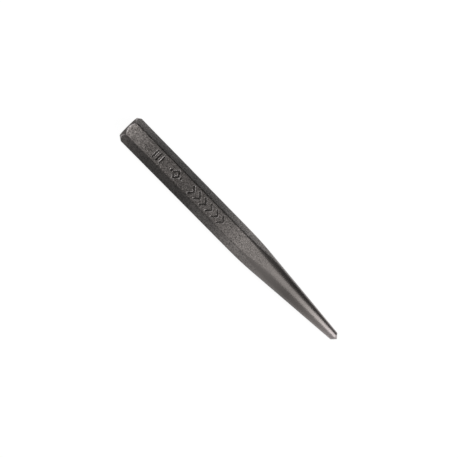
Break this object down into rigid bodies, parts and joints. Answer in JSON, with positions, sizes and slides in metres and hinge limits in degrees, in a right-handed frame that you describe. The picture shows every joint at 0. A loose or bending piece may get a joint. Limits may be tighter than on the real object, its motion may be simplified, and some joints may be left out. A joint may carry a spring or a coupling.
{
  "type": "center punch",
  "caption": "Solid hexagonal steel center punch with a chamfered striking face, a long ground taper and a 90 degree point.",
  "frame": {"origin": "under the middle of the tool's length and width, on the flat that it lies on, so the tool's own axis is 6.35 mm above the origin", "axes": "+X along the tool towards its point, +Z out of the marked flat, +Y across the flats"},
  "size_m": [0.145, 0.0144, 0.0127],
  "materials": {
    "blackened_steel": "black heat-treatment oxide on hot-rolled flats, worn to bare steel along the edges, the stamped flat and the ground point"
  },
  "bodies": {
    "root": {"center_punch": "blackened_steel"}
  },
  "joints": []
}
